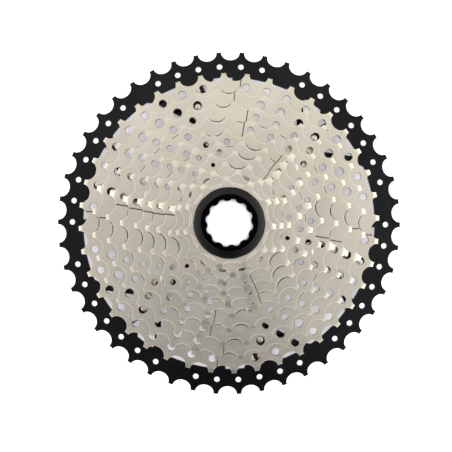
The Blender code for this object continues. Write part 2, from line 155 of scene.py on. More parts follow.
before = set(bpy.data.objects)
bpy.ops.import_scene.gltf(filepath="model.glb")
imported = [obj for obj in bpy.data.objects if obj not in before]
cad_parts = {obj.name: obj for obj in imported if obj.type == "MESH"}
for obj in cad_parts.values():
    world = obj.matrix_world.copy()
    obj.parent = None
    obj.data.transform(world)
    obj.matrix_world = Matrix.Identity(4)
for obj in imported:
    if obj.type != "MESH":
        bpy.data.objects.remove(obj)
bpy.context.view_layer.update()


# Node trees


def operator(operation, flipped=False):
    """A method of Field that adds the Math node for one of Python's operators."""

    def method(self, other):
        pair = [other, self] if flipped else [self, other]
        return self.tree.add("ShaderNodeMath", {"operation": operation}, pair)

    return method


class Field:
    """One output of a node. Python's operators on it add the matching Math nodes to its tree."""

    def __init__(self, tree, socket):
        self.tree = tree
        self.socket = socket

    def math(self, operation, *others):
        return self.tree.add("ShaderNodeMath", {"operation": operation}, [self, *others])

    __add__ = __radd__ = operator("ADD")
    __sub__ = operator("SUBTRACT")
    __rsub__ = operator("SUBTRACT", flipped=True)
    __mul__ = __rmul__ = operator("MULTIPLY")
    __truediv__ = operator("DIVIDE")
    __rtruediv__ = operator("DIVIDE", flipped=True)
    __lt__ = operator("LESS_THAN")
    __gt__ = operator("GREATER_THAN")
    __mod__ = operator("FLOORED_MODULO")


class Tree:
    """A shader, world or geometry node tree under construction."""

    def __init__(self, nodes):
        self.nodes = nodes

    def add(self, kind, settings=None, values=(), output=None):
        """A node of one type with its settings and its socket values or links, as one output's Field."""
        node = self.nodes.nodes.new(kind)
        for name, value in (settings or {}).items():
            if name == "stops":
                set_stops(node.color_ramp, value)
            else:
                setattr(node, name, value)
        self.fill(node, values)
        if output is None:
            socket = next((socket for socket in node.outputs if socket.enabled), None)
        else:
            socket = node.outputs[output]
        return Field(self, socket)

    def fill(self, node, values):
        if isinstance(values, dict):
            pairs = [(self.input_named(node, name), value) for name, value in values.items()]
        else:
            pairs = list(zip(node.inputs, values))
        for socket, value in pairs:
            self.put(socket, value)

    def input_named(self, node, name):
        return next(socket for socket in node.inputs if socket.enabled and socket.name == name)

    def put(self, socket, value):
        if isinstance(value, Field):
            self.nodes.links.new(value.socket, socket)
        elif isinstance(value, list):
            for item in reversed(value):
                self.nodes.links.new(item.socket, socket)
        else:
            socket.default_value = value

    def vector(self, x, y, z):
        return self.add("ShaderNodeCombineXYZ", {}, [x, y, z])

    def part(self, vector, axis):
        return self.add("ShaderNodeSeparateXYZ", {}, [vector], output=axis)


def set_stops(ramp, stops):
    """Gives a colour ramp its stops, as (position, brightness or colour)."""
    while len(ramp.elements) > 1:
        ramp.elements.remove(ramp.elements[-1])
    for number, (position, colour) in enumerate(stops):
        element = ramp.elements[0] if number == 0 else ramp.elements.new(position)
        element.position = position
        element.color = (colour, colour, colour, 1) if isinstance(colour, (int, float)) else (*colour, 1)


def geometry_tree(name, sockets):
    """A geometry node group with Geometry and the named inputs, its Tree, and the inputs' Fields."""
    group = bpy.data.node_groups.new(name, "GeometryNodeTree")
    group.interface.new_socket("Geometry", in_out="INPUT", socket_type="NodeSocketGeometry")
    group.interface.new_socket("Geometry", in_out="OUTPUT", socket_type="NodeSocketGeometry")
    for socket_name, kind in sockets.items():
        group.interface.new_socket(socket_name, in_out="INPUT", socket_type="NodeSocket" + kind)
    tree = Tree(group)
    entry = group.nodes.new("NodeGroupInput")
    given = {socket.name: Field(tree, socket) for socket in entry.outputs if socket.name}
    return group, tree, given


def end_tree(group, tree, geometry):
    exit_node = group.nodes.new("NodeGroupOutput")
    tree.put(exit_node.inputs[0], geometry)
    return group


def finish_geometry(group, tree, geometry, material):
    """The end that every tree has which makes a mesh."""
    real = tree.add("GeometryNodeRealizeInstances", {}, [geometry])
    coloured = tree.add("GeometryNodeSetMaterial", {}, {"Geometry": real, "Material": material})
    return end_tree(group, tree, coloured)


def add_nodes_modifier(target, group, values):
    """A Geometry Nodes modifier whose named inputs are set by their identifiers."""
    modifier = target.modifiers.new(group.name, "NODES")
    modifier.node_group = group
    for item in group.interface.items_tree:
        if item.item_type == "SOCKET" and item.in_out == "INPUT" and item.name in values:
            modifier[item.identifier] = values[item.name]


def toothed_edge_tree():
    """Adds a sprocket's toothed outline and a hole under each tooth to the openings it is given."""
    measures = ("First Tooth", "Seat Half Width", "Seat Depth", "Tip Width", "Tip Rise")
    measures += ("Hole Radius", "Hole Circle", "First Gate", "Gate Half Angle")
    sockets = {"Teeth": "Int", "Gates": "Int", **{name: "Float" for name in measures}}
    group, tree, given = geometry_tree("toothed_edge", sockets)
    teeth = given["Teeth"] + 0
    pitch_radius = CHAIN_PITCH / 2 / (math.pi / teeth).math("SINE")
    step = 360 / teeth
    index = tree.add("GeometryNodeInputIndex") + 0
    points = SEAT_POINTS + 2
    tooth = (index / points).math("FLOOR")
    place = index - tooth * points
    at_tip = place < 1.5
    swing = ((place - 2) * (2 / (SEAT_POINTS - 1)) - 1) * SEAT_SWING
    seat_side = given["Seat Half Width"] * swing.math("SINE")
    seat_out = pitch_radius - given["Seat Depth"] * swing.math("COSINE")
    tip_side = (place - 0.5) * given["Tip Width"]
    tip_out = pitch_radius + given["Tip Rise"]
    side = seat_side + at_tip * (tip_side - seat_side)
    out = seat_out + at_tip * (tip_out - seat_out)
    direction = given["First Tooth"] + (tooth + 0.5 * (1 - at_tip)) * step
    circle = tree.add("GeometryNodeCurvePrimitiveCircle", {}, {"Resolution": teeth * points, "Radius": 1.0})
    moved = {"Geometry": circle, "Position": polar(tree, direction, out, side)}
    outline = tree.add("GeometryNodeSetPosition", {}, moved)

    number = tree.add("GeometryNodeInputIndex") + 0
    hole_angle = given["First Tooth"] + number * step
    gate_step = 360 / given["Gates"].math("MAXIMUM", 1)
    from_gate = (hole_angle - given["First Gate"] + gate_step / 2) % gate_step - gate_step / 2
    outside_gate = from_gate.math("ABSOLUTE") > given["Gate Half Angle"]
    centre = polar(tree, hole_angle, given["Hole Circle"], 0.0)
    spots = tree.add("GeometryNodePoints", {}, {"Count": teeth, "Position": centre})
    rounded = {"Resolution": HOLE_POINTS, "Radius": given["Hole Radius"]}
    hole = tree.add("GeometryNodeCurvePrimitiveCircle", {}, rounded)
    drilled = outside_gate * (given["Hole Radius"] > 0)
    placed = {"Points": spots, "Selection": drilled, "Instance": hole}
    holes = tree.add("GeometryNodeInstanceOnPoints", {}, placed)
    real_holes = tree.add("GeometryNodeRealizeInstances", {}, [holes])
    joined = tree.add("GeometryNodeJoinGeometry", {}, [[outline, real_holes, given["Geometry"]]])
    return end_tree(group, tree, joined)


def polar(tree, direction, out, side):
    """The position out along a ray and then sideways to it, clockwise. The direction is in degrees."""
    angle = direction.math("RADIANS")
    sine, cosine = angle.math("SINE"), angle.math("COSINE")
    return tree.vector(sine * out + cosine * side, cosine * out - sine * side, 0.0)


def raised(tree, geometry, height):
    values = {"Geometry": geometry, "Translation": tree.vector(0.0, 0.0, height)}
    return tree.add("GeometryNodeTransform", {}, values)


def chamfered_plate_tree():
    """Turns flat outlines into a plate with chamfered edges. Openings run the other way from outlines."""
    sockets = {"Bottom": "Float", "Top": "Float", "Chamfer": "Float", "Material": "Material"}
    group, tree, given = geometry_tree("chamfered_plate", sockets)
    chamfer = given["Chamfer"] + 0
    half = (given["Top"] - given["Bottom"]) / 2
    middle = (given["Top"] + given["Bottom"]) / 2
    corner = tree.add("GeometryNodeInputIndex") + 0
    is_face = (corner < 0.5) + (corner > 2.5)
    upper = (corner < 1.5) * 2 - 1
    across = tree.vector(chamfer * is_face, upper * (half - chamfer * (1 - is_face)), 0.0)
    line = tree.add("GeometryNodeMeshLine", {}, {"Count": 4})
    bent = tree.add("GeometryNodeSetPosition", {}, {"Geometry": line, "Position": across})
    profile = tree.add("GeometryNodeMeshToCurve", {}, [bent])
    upright = tree.add("GeometryNodeSetCurveNormal", {"mode": "Z_UP"}, [given["Geometry"]])
    wall = tree.add("GeometryNodeCurveToMesh", {}, {"Curve": upright, "Profile Curve": profile})
    height = tree.part(tree.add("GeometryNodeInputPosition"), "Z")
    top_edge = height > half - chamfer * 0.2
    rim = tree.add("GeometryNodeMeshToCurve", {}, {"Mesh": wall, "Selection": top_edge})
    flat = tree.add("GeometryNodeFillCurve", {"mode": "TRIANGLES"}, [rim])
    lid = raised(tree, flat, half)
    turned = tree.add("GeometryNodeFlipFaces", {}, [flat])
    base = raised(tree, turned, half * -1)
    shell = tree.add("GeometryNodeJoinGeometry", {}, [[wall, lid, base]])
    sewn = tree.add("GeometryNodeMergeByDistance", {}, {"Geometry": shell, "Distance": 0.001 * MM})
    return finish_geometry(group, tree, raised(tree, sewn, middle), given["Material"])


def ring_of_copies_tree():
    """Copies a small shape, drawn at the axle and pointing to +Y, around the axle at even steps."""
    sockets = {"Count": "Int", "First Angle": "Float", "Step": "Float", "Radius": "Float"}
    group, tree, given = geometry_tree("ring_of_copies", {**sockets, "Material": "Material"})
    number = tree.add("GeometryNodeInputIndex") + 0
    angle = given["First Angle"] + number * given["Step"]
    centre = polar(tree, angle, given["Radius"] + 0, 0.0)
    spots = tree.add("GeometryNodePoints", {}, {"Count": given["Count"], "Position": centre})
    turn = tree.vector(0.0, 0.0, angle.math("RADIANS") * -1)
    placed = {"Points": spots, "Instance": given["Geometry"], "Rotation": turn}
    copies = tree.add("GeometryNodeInstanceOnPoints", {}, placed)
    return finish_geometry(group, tree, copies, given["Material"])


# Meshes


def new_object(name, data):
    made = bpy.data.objects.new(name, data)
    bpy.context.scene.collection.objects.link(made)
    return made


def plain_mesh(source, name):
    """The source object's evaluated mesh, and the source is removed."""
    bpy.context.view_layer.update()
    graph = bpy.context.evaluated_depsgraph_get()
    mesh = bpy.data.meshes.new_from_object(source.evaluated_get(graph))
    bpy.data.objects.remove(source)
    mesh.name = name
    return mesh


def outline_object(name, outlines):
    """A curve object with one closed line for each outline."""
    drawing = bpy.data.curves.new(name, "CURVE")
    drawing.dimensions = "3D"
    for outline in outlines:
        spline = drawing.splines.new("POLY")
        spline.points.add(len(outline) - 1)
        for corner, place in zip(spline.points, outline):
            corner.co = (place.x, place.y, 0, 1)
        spline.use_cyclic_u = True
    return new_object(name, drawing)


def cut(name, mesh, steps):
    """The mesh after Booleans, given as (operation, other mesh)."""
    target = new_object(name, mesh)
    others = [new_object(f"{name}_{number}", other) for number, (_, other) in enumerate(steps)]
    for other, (operation, _) in zip(others, steps):
        boolean = target.modifiers.new(other.name, "BOOLEAN")
        boolean.operation = operation
        boolean.object = other
    result = plain_mesh(target, name)
    for other in others:
        bpy.data.objects.remove(other)
    mend_slivers(result)
    return result


def mend_slivers(mesh):
    """Mends what a Boolean leaves where two cuts share an edge: lone triangles, and hair-thin openings."""
    shape = bmesh.new()
    shape.from_mesh(mesh)
    bmesh.ops.remove_doubles(shape, verts=shape.verts, dist=0.02 * MM)
    lone = [face for face in shape.faces if all(edge.is_boundary for edge in face.edges)]
    bmesh.ops.delete(shape, geom=lone, context="FACES")
    bmesh.ops.holes_fill(shape, edges=shape.edges, sides=4)
    shape.to_mesh(mesh)
    shape.free()


def turned_mesh(name, profile, steps, ripple=None):
    """A ring turned about the axle from a closed (radius, height) profile, outer side top to bottom.

    ripple, where given, takes an angle in radians, a radius and a height, and gives the radius to use there.
    """
    shape = bmesh.new()
    rings = []
    for step in range(steps):
        angle = 2 * math.pi * step / steps
        ring = []
        for radius, height in profile:
            reach = ripple(angle, radius, height) if ripple else radius
            ring.append(shape.verts.new((reach * math.sin(angle), reach * math.cos(angle), height)))
        rings.append(ring)
    count = len(profile)
    for ring, following in zip(rings, rings[1:] + rings[:1]):
        for i in range(count):
            j = (i + 1) % count
            shape.faces.new((ring[i], ring[j], following[j], following[i]))
    return mesh_from(shape, name)


def mesh_from(shape, name):
    bmesh.ops.remove_doubles(shape, verts=shape.verts, dist=0.001 * MM)
    loose = [edge for edge in shape.edges if not edge.link_faces]
    bmesh.ops.delete(shape, geom=loose, context="EDGES")
    bmesh.ops.recalc_face_normals(shape, faces=shape.faces)
    mesh = bpy.data.meshes.new(name)
    shape.to_mesh(mesh)
    shape.free()
    return mesh


def add_prism(shape, lower, upper):
    """A closed body between two outlines of as many points each."""
    bottom = [shape.verts.new(place) for place in lower]
    top = [shape.verts.new(place) for place in upper]
    shape.faces.new(bottom)
    shape.faces.new(top)
    for i in range(len(bottom)):
        j = (i + 1) % len(bottom)
        shape.faces.new((bottom[i], bottom[j], top[j], top[i]))


def mark_faces(mesh):
    """Marks each face as a flat one, a chamfer (edge) or a wall, for the materials to read."""
    edge = mesh.attributes.new("edge", "FLOAT", "FACE")
    wall = mesh.attributes.new("wall", "FLOAT", "FACE")
    for face in mesh.polygons:
        steepness = abs(face.normal.z)
        edge.data[face.index].value = 0.2 < steepness < 0.97
        wall.data[face.index].value = steepness <= 0.2


def finish_piece(name, mesh, material, body, slot, *nodes):
    """The finished piece on its body, standing for its CAD nodes."""
    mesh.materials.clear()
    mesh.materials.append(material)
    mesh.shade_smooth()
    mesh.set_sharp_from_angle(angle=SHARP_ANGLE)
    mark_faces(mesh)
    piece = new_object(name, mesh)
    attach(piece, body)
    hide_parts(*nodes)


# Outlines


def point(radius, clock_angle, sideways=0.0):
    angle = math.radians(clock_angle)
    outwards = Vector((math.sin(angle), math.cos(angle)))
    clockwise = Vector((math.cos(angle), -math.sin(angle)))
    return outwards * radius + clockwise * sideways


def arc(radius, start, end, steps):
    return [point(radius, start + (end - start) * i / steps) for i in range(steps + 1)]


def circle(radius, steps=96, centre=(0.0, 0.0)):
    return [Vector(centre) + point(radius, 360 * i / steps) for i in range(steps)]


def opening(outline):
    """The same outline the other way round, as an opening has it."""
    return outline[::-1]


def splined_bore():
    half_key = math.degrees(SPLINE_KEY_WIDTH / 2 / SPLINE_ROOT_RADIUS)
    step = 360 / SPLINE_KEYS
    outline = []
    for key in range(SPLINE_KEYS):
        key_angle = key * step
        outline += [point(SPLINE_CREST_RADIUS, key_angle, side * SPLINE_KEY_WIDTH / 2) for side in (-1, 0, 1)]
        outline += arc(SPLINE_ROOT_RADIUS, key_angle + half_key, key_angle + step - half_key, 8)
    return outline


def lugged_opening(radius, lug_radius, lug_offset, lug_half_angle):
    outline = []
    for arm in range(ARM_COUNT):
        lug = ARM_ANGLE + arm * ARM_STEP + lug_offset
        outline += arc(lug_radius, lug - lug_half_angle + 1.5, lug + lug_half_angle - 1.5, 5)
        outline += arc(radius, lug + lug_half_angle, lug + ARM_STEP - lug_half_angle, 18)
    return outline


def forked_opening():
    """The largest sprocket's inner edge, around each fork, with a fillet where a strut meets the rim."""
    rim_half_angle = FORK_RIM_ANGLE + math.degrees(STRUT_WIDTH / RIM_RADIUS) / 2
    corner = FORK_PAD_WIDTH / 2
    shoulder = FORK_RADIUS + STRUT_WIDTH / 2
    outline = []
    for arm in range(ARM_COUNT):
        fork = ARM_ANGLE + arm * ARM_STEP
        left, right = point(shoulder, fork, -corner), point(shoulder, fork, corner)
        outline += [left.lerp(point(RIM_RADIUS, fork - rim_half_angle), FILLET_START), left]
        for swing in range(-90, 91, 15):
            turn = math.radians(swing)
            reach = FORK_PAD_RADIUS + corner * (1 - math.cos(turn))
            outline.append(point(reach, fork, corner * math.sin(turn)))
        outline += [right, right.lerp(point(RIM_RADIUS, fork + rim_half_angle), FILLET_START)]
        start, end = fork + rim_half_angle, fork + ARM_STEP - rim_half_angle
        outline += arc(RIM_RADIUS, start + FILLET_ANGLE, end - FILLET_ANGLE, 24)
    return outline


def fork_window(arm):
    """The open triangle between two struts. The rim has a tab over the end of the carrier's arm."""
    fork = ARM_ANGLE + arm * ARM_STEP
    half_angle = FORK_RIM_ANGLE - math.degrees(STRUT_WIDTH / RIM_RADIUS) / 2
    apex = point(FORK_RADIUS + STRUT_WIDTH, fork)
    sides = [apex.lerp(point(RIM_RADIUS, fork + side * half_angle), FILLET_START) for side in (-1, 1)]
    outline = [apex, sides[0]]
    outline += arc(RIM_RADIUS, fork - half_angle + FILLET_ANGLE, fork - RIM_TAB_ANGLE - FILLET_ANGLE, 6)
    outline += arc(RIM_TAB_RADIUS, fork - RIM_TAB_ANGLE, fork + RIM_TAB_ANGLE, 8)
    outline += arc(RIM_RADIUS, fork + RIM_TAB_ANGLE + FILLET_ANGLE, fork + half_angle - FILLET_ANGLE, 6)
    return outline + [sides[1]]


def rivet_openings(circle_radius, offset, radius):
    places = [point(circle_radius, ARM_ANGLE + arm * ARM_STEP + offset) for arm in range(ARM_COUNT)]
    return [opening(circle(radius, HOLE_POINTS, place)) for place in places]


def carrier_outline(reach):
    half_root = math.degrees(ARM_ROOT_WIDTH / 2 / HUB_RADIUS)
    middle_radius = (HUB_RADIUS + reach) / 2
    outline = []
    for arm in range(ARM_COUNT):
        angle = ARM_ANGLE + arm * ARM_STEP
        outline += arc(HUB_RADIUS - ARM_LAP, angle - ARM_STEP + half_root, angle - half_root, 4)
        outline.append(point(middle_radius, angle, -ARM_MIDDLE_WIDTH / 2))
        for swing in range(-90, 91, 15):
            turn = math.radians(swing)
            side = ARM_TIP_WIDTH / 2
            outline.append(point(reach - side * (1 - math.cos(turn)), angle, side * math.sin(turn)))
        outline.append(point(middle_radius, angle, ARM_MIDDLE_WIDTH / 2))
    return outline


def windows(radii, start, end):
    inner, outer = radii
    outlines = []
    for turn in range(0, 360, 60):
        first, last = start + turn, end + turn
        outlines.append(arc(outer, first, last, 14) + arc(inner, last, first, 10))
    return outlines


def notched_bore():
    """The lock ring's bore, with a rounded notch for each spline of its tool."""
    outline = []
    steps = 12
    squareness = 0.45
    middle = (LOCK_RING_CREST_RADIUS + LOCK_RING_NOTCH_RADIUS) / 2
    swell = (LOCK_RING_NOTCH_RADIUS - LOCK_RING_CREST_RADIUS) / 2
    for i in range(LOCK_RING_NOTCHES * steps):
        turn = i / steps
        wave = math.cos(2 * math.pi * turn)
        squared = math.copysign(abs(wave) ** squareness, wave)
        angle = LOCK_RING_FIRST_NOTCH + turn * 360 / LOCK_RING_NOTCHES
        outline.append(point(middle + swell * squared, angle))
    return outline


# Sprockets


class Sprocket:
    """One sprocket: its teeth, its place in the stack, its first tooth's direction, and its row of holes.

    A hole lies under each tooth, but not within a gate, where the shift ramps are.
    """

    def __init__(self, teeth, place, first_tooth, hole_radius=0.0, hole_circle=0.0, gates=(1, 0, 0)):
        self.teeth = teeth
        self.first_tooth = first_tooth
        self.hole_radius = hole_radius * MM
        self.hole_circle = hole_circle * MM
        self.gate_count, self.first_gate, self.gate_half_angle = gates
        self.thickness = STEEL_THICKNESS if place else ALLOY_THICKNESS
        middle = ALLOY_THICKNESS / 2 + place * SPACING
        self.bottom = middle - self.thickness / 2
        self.top = middle + self.thickness / 2
        self.pitch_radius = CHAIN_PITCH / 2 / math.sin(math.pi / teeth)
        self.tip_radius = self.pitch_radius + TIP_RISE
        self.step = 360 / teeth


SPROCKETS = {
    46: Sprocket(46, 0, 4.4, 1.55, 85.5, (6, 21.6, 3.9)),
    40: Sprocket(40, 1, 7, 2.1, 73.7, (4, -2, 4)),
    36: Sprocket(36, 2, 5, 2.3, 65.0, (4, 0, 6)),
    32: Sprocket(32, 3, 14.2, 1.8, 57.4, (4, -2.7, 6)),
    28: Sprocket(28, 4, 13, 1.65, 49.7, (4, -6.5, 7)),
    24: Sprocket(24, 5, 13.5, 1.45, 42.1, (3, 21, 8)),
    21: Sprocket(21, 6, 9.2, 1.3, 36.6, (3, 18, 10)),
    18: Sprocket(18, 7, 4.5, 1.0, 30.4, (3, 14.5, 11)),
    15: Sprocket(15, 8, 20),
    13: Sprocket(13, 9, 10),
    11: Sprocket(11, 10, 29.3),
}
NEXT_SMALLER = {40: 36, 36: 32, 32: 28, 28: 24, 24: 21, 21: 18, 18: 15}

# A riveted sprocket's rivets: their circle's radius, and their offset in degrees from the middle of an arm
RIVET_CIRCLES = {
    46: (52.0 * MM, 0),
    40: (73.7 * MM, 0),
    36: (64.4 * MM, -1.5),
    32: (49.2 * MM, 0),
    28: (44.6 * MM, 3),
    24: (37.2 * MM, 1),
}
INNER_RADIUS_40 = 68.5 * MM
# Inner radius, then a lug's radius, its offset and its half angle in degrees
LUGS = {
    36: (60.0 * MM, 56.5 * MM, 0, 5.5),
    32: (53.7 * MM, 46.2 * MM, 0, 9),
    28: (44.5 * MM, 41.8 * MM, 3, 7),
    24: (39.4 * MM, 34.2 * MM, 2, 9),
}
WINDOWS = {21: ((24.5 * MM, 32.5 * MM), 13.5, 55.5), 18: ((22.0 * MM, 27.0 * MM), 42, 86)}
SLOTTED_TEETH_15 = (0, 5, 6, 7, 8, 12, 13)
SLOT_15 = (23.6 * MM, 2.0 * MM, 1.0 * MM)  # radius of the row, half length, half width

# Shift gates: how many, and the direction of the next sprocket's valley that the first relief surrounds
RELIEFS = {
    40: (4, 0),
    36: (4, -2.7),
    32: (4, -6.3),
    28: (4, -9),
    24: (3, 17.8),
    21: (3, 14.5),
    18: (3, 8),
}
# Ramps: how many, where the first step is, and the two radii
RAMPS = {
    40: (4, 5, 73.9 * MM, 79.0 * MM),
    36: (4, 2.7, 65.0 * MM, 70.6 * MM),
    32: (4, 9.8, 52.5 * MM, 60.6 * MM),
    28: (4, 9.0, 44.6 * MM, 53.0 * MM),
    24: (3, 38.4, 38.4 * MM, 45.0 * MM),
    21: (3, 38.0, 32.6 * MM, 39.0 * MM),
    18: (3, 38.7, 27.4 * MM, 33.0 * MM),
}
# Gate teeth, whose faces slope down to the tip: how many, and the direction of the first
GATE_TEETH = {36: (4, 14), 32: (4, 14), 28: (4, 14), 24: (3, 44), 21: (3, 44), 18: (3, 44), 15: (3, 44)}
GATE_SLOPE = (3.4 * MM, 1.0 * MM)  # how far in from the tip the slope starts, and how deep it gets
PANEL_ANGLES = (20, 83, 145, 200, 263, 325)  # the recessed panels of the largest sprocket's rim
PANEL_DEPTH = 0.35 * MM
PANEL_SWEEP = 4  # degrees that the panel's curved edge turns through
PANEL_STEPS = 5
PANEL_CURVE = (89.4 * MM, 1.5 * MM)  # the radius where the curved edge starts, and its fall at each step
PANEL_CORNERS = ((81.4 * MM, 4.6), (90.4 * MM, 6.4))  # radius, degrees


def slots_15():
    radius, half_length, half_width = SLOT_15
    sprocket = SPROCKETS[15]
    outlines = []
    for tooth in SLOTTED_TEETH_15:
        angle = sprocket.first_tooth + tooth * sprocket.step
        corners = []
        for i in range(HOLE_POINTS):
            turn = 2 * math.pi * i / HOLE_POINTS
            corners.append(point(radius + half_width * math.cos(turn), angle, half_length * math.sin(turn)))
        outlines.append(opening(corners))
    return outlines


def sprocket_openings(teeth):
    if teeth == 46:
        inner = [opening(forked_opening())] + [opening(fork_window(arm)) for arm in range(ARM_COUNT)]
    elif teeth == 40:
        inner = [opening(circle(INNER_RADIUS_40, 144))]
    elif teeth in LUGS:
        inner = [opening(lugged_opening(*LUGS[teeth]))]
    else:
        inner = [opening(splined_bore())]
    if teeth in WINDOWS:
        inner += [opening(window) for window in windows(*WINDOWS[teeth])]
    if teeth == 15:
        inner += slots_15()
    if teeth in RIVET_CIRCLES and teeth not in (40, 36):
        inner += rivet_openings(*RIVET_CIRCLES[teeth], RIVET_SHANK_RADIUS + RIVET_CLEARANCE)
    return inner


def seat_arc(sprocket, valley, swell):
    """The edge of one roller seat, moved outwards by swell. The valley is counted on from the first tooth."""
    angle = sprocket.first_tooth + (valley + 0.5) * sprocket.step
    outline = []
    for i in range(SEAT_POINTS):
        swing = SEAT_SWING * (2 * i / (SEAT_POINTS - 1) - 1)
        out = sprocket.pitch_radius - (SEAT_DEPTH - swell) * math.cos(swing)
        outline.append(point(out, angle, (SEAT_HALF_WIDTH - swell / 2) * math.sin(swing)))
    return outline


def at_height(outline, height):
    return [(place.x, place.y, height) for place in outline]


def add_reliefs(shape, teeth):
    """Shallow pockets in a sprocket's face that follow the next sprocket's teeth, where the chain climbs."""
    sprocket, smaller = SPROCKETS[teeth], SPROCKETS[NEXT_SMALLER[teeth]]
    count, valley = RELIEFS[teeth]
    inner = smaller.pitch_radius - RELIEF_INSET
    for gate in range(count):
        number = round((valley + gate * 360 / count - smaller.first_tooth) / smaller.step - 0.5)
        angle = smaller.first_tooth + (number + 0.5) * smaller.step
        back = arc(inner, angle + smaller.step / 3, angle - smaller.step / 3, 8)
        high_back = arc(inner, angle + smaller.step / 2.8, angle - smaller.step / 2.8, 8)
        low = seat_arc(smaller, number, RELIEF_SWELL) + back
        high = seat_arc(smaller, number, RELIEF_SWELL + RELIEF_SLOPE) + high_back
        add_prism(
            shape,
            at_height(low, sprocket.top - RELIEF_DEPTH),
            at_height(high, sprocket.top + RELIEF_DEPTH / 4),
        )


def add_ramps(shape, teeth):
    """Short wedges in a sprocket's face, deepest at a radial step."""
    top = SPROCKETS[teeth].top
    count, start, inner, outer = RAMPS[teeth]
    for gate in range(count):
        angle = start + gate * 360 / count
        step_side = [point(inner, angle), point(outer, angle)]
        far_side = [point(outer, angle, -RAMP_LENGTH), point(inner, angle, -RAMP_LENGTH)]
        low = at_height(step_side, top - RAMP_DEPTH) + at_height(far_side, top + CLEAR)
        add_prism(shape, low, at_height(step_side + far_side, top + RAMP_DEPTH))


def add_gate_slopes(shape, teeth):
    """Wedges that slope the face of each gate tooth down to its tip."""
    sprocket = SPROCKETS[teeth]
    length, depth = GATE_SLOPE
    count, start = GATE_TEETH[teeth]
    inner, outer = sprocket.tip_radius - length, sprocket.tip_radius + length / 4
    half = SEAT_HALF_WIDTH * 0.7
    for gate in range(count):
        tooth = round((start + gate * 360 / count - sprocket.first_tooth) / sprocket.step)
        angle = sprocket.first_tooth + tooth * sprocket.step
        inner_side = [point(inner, angle, -half), point(inner, angle, half)]
        tip_side = [point(outer, angle, half), point(outer, angle, -half)]
        low = at_height(inner_side, sprocket.top + CLEAR) + at_height(tip_side, sprocket.top - depth)
        add_prism(shape, low, at_height(inner_side + tip_side, sprocket.top + depth))


def add_panels(shape):
    """The recessed panels of the largest sprocket's rim, each open to a valley between two teeth."""
    top = SPROCKETS[46].top
    start, fall = PANEL_CURVE
    for angle in PANEL_ANGLES:
        corners = []
        for i in range(PANEL_STEPS + 1):
            turn = math.sin(i / PANEL_STEPS * math.pi / 2) - 0.5
            corners.append(point(start - fall * i, angle + PANEL_SWEEP * turn))
        corners += [point(radius, angle + turn) for radius, turn in PANEL_CORNERS]
        add_prism(shape, at_height(corners, top - PANEL_DEPTH), at_height(corners, top + PANEL_DEPTH))


def cutter_mesh(add_shapes, *sizes):
    shape = bmesh.new()
    add_shapes(shape, *sizes)
    return mesh_from(shape, add_shapes.__name__)


def tip_bevel_mesh(teeth):
    sprocket = SPROCKETS[teeth]
    length, depth = TIP_BEVEL
    inner, outer = sprocket.tip_radius - length, sprocket.tip_radius + length
    low = sprocket.top - depth * (outer - inner) / length
    high = sprocket.top + depth
    profile = [(outer, high), (outer, low), (inner, sprocket.top + CLEAR), (inner - length, high)]
    return turned_mesh(f"tip_bevel_{teeth}", profile, 4 * teeth)


def plate_mesh(name, outlines, bottom, top, trees, material, chamfer=EDGE_CHAMFER, teeth=None):
    """A chamfered plate from outlines. With teeth given, its outer edge is that sprocket's."""
    drawn = outline_object(name, outlines)
    if teeth:
        sprocket = SPROCKETS[teeth]
        values = {
            "Teeth": sprocket.teeth,
            "First Tooth": float(sprocket.first_tooth),
            "Seat Half Width": SEAT_HALF_WIDTH,
            "Seat Depth": SEAT_DEPTH,
            "Tip Width": TIP_WIDTH,
            "Tip Rise": TIP_RISE,
            "Hole Radius": sprocket.hole_radius,
            "Hole Circle": sprocket.hole_circle,
            "Gates": sprocket.gate_count,
            "First Gate": float(sprocket.first_gate),
            "Gate Half Angle": float(sprocket.gate_half_angle),
        }
        add_nodes_modifier(drawn, trees["toothed_edge"], values)
    values = {"Bottom": bottom, "Top": top, "Chamfer": chamfer, "Material": material}
    add_nodes_modifier(drawn, trees["chamfered_plate"], values)
    return plain_mesh(drawn, name)


def sprocket_mesh(teeth, trees, material):
    name = f"toothed_ring_{teeth}t"
    sprocket = SPROCKETS[teeth]
    mesh = plate_mesh(
        name, sprocket_openings(teeth), sprocket.bottom, sprocket.top, trees, material, teeth=teeth
    )
    steps = []
    if teeth == 46:
        steps.append(("DIFFERENCE", cutter_mesh(add_panels)))
    if teeth in RELIEFS:
        steps.append(("DIFFERENCE", cutter_mesh(add_reliefs, teeth)))
        steps.append(("DIFFERENCE", cutter_mesh(add_ramps, teeth)))
    if teeth in GATE_TEETH:
        steps.append(("DIFFERENCE", cutter_mesh(add_gate_slopes, teeth)))
    if teeth != 46:
        steps.append(("DIFFERENCE", tip_bevel_mesh(teeth)))
    if teeth in (13, 11):
        lower = SPROCKETS[15 if teeth == 13 else 13]
        bore, radius = COLLAR
        profile = ring_profile(bore, radius, lower.top + FACE_GAP, sprocket.bottom + COLLAR_LAP)
        steps.append(("UNION", turned_mesh(f"collar_{teeth}", profile, 96)))
    return cut(name, mesh, steps)


def ring_profile(bore, radius, bottom, top, bevel=0.25 * MM):
    """A rectangular section with bevelled edges."""
    return [
        (radius, top - bevel),
        (radius, bottom + bevel),
        (radius - bevel, bottom),
        (bore + bevel, bottom),
        (bore, bottom + bevel),
        (bore, top - bevel),
        (bore + bevel, top),
        (radius - bevel, top),
    ]


def make_sprockets(trees, materials):
    for teeth in SPROCKETS:
        material, slot = materials["steel"], "nickel_steel"
        if teeth == 46:
            material, slot = materials["black"], "black_anodised"
        body = f"sprocket_{teeth}t"
        if teeth in (46, 40, 36):
            body = "large_cluster"
        elif teeth in (32, 28, 24):
            body = "small_cluster"
        mesh = sprocket_mesh(teeth, trees, material)
        finish_piece(f"toothed_ring_{teeth}t", mesh, material, body, slot, f"sprocket_{teeth}t")


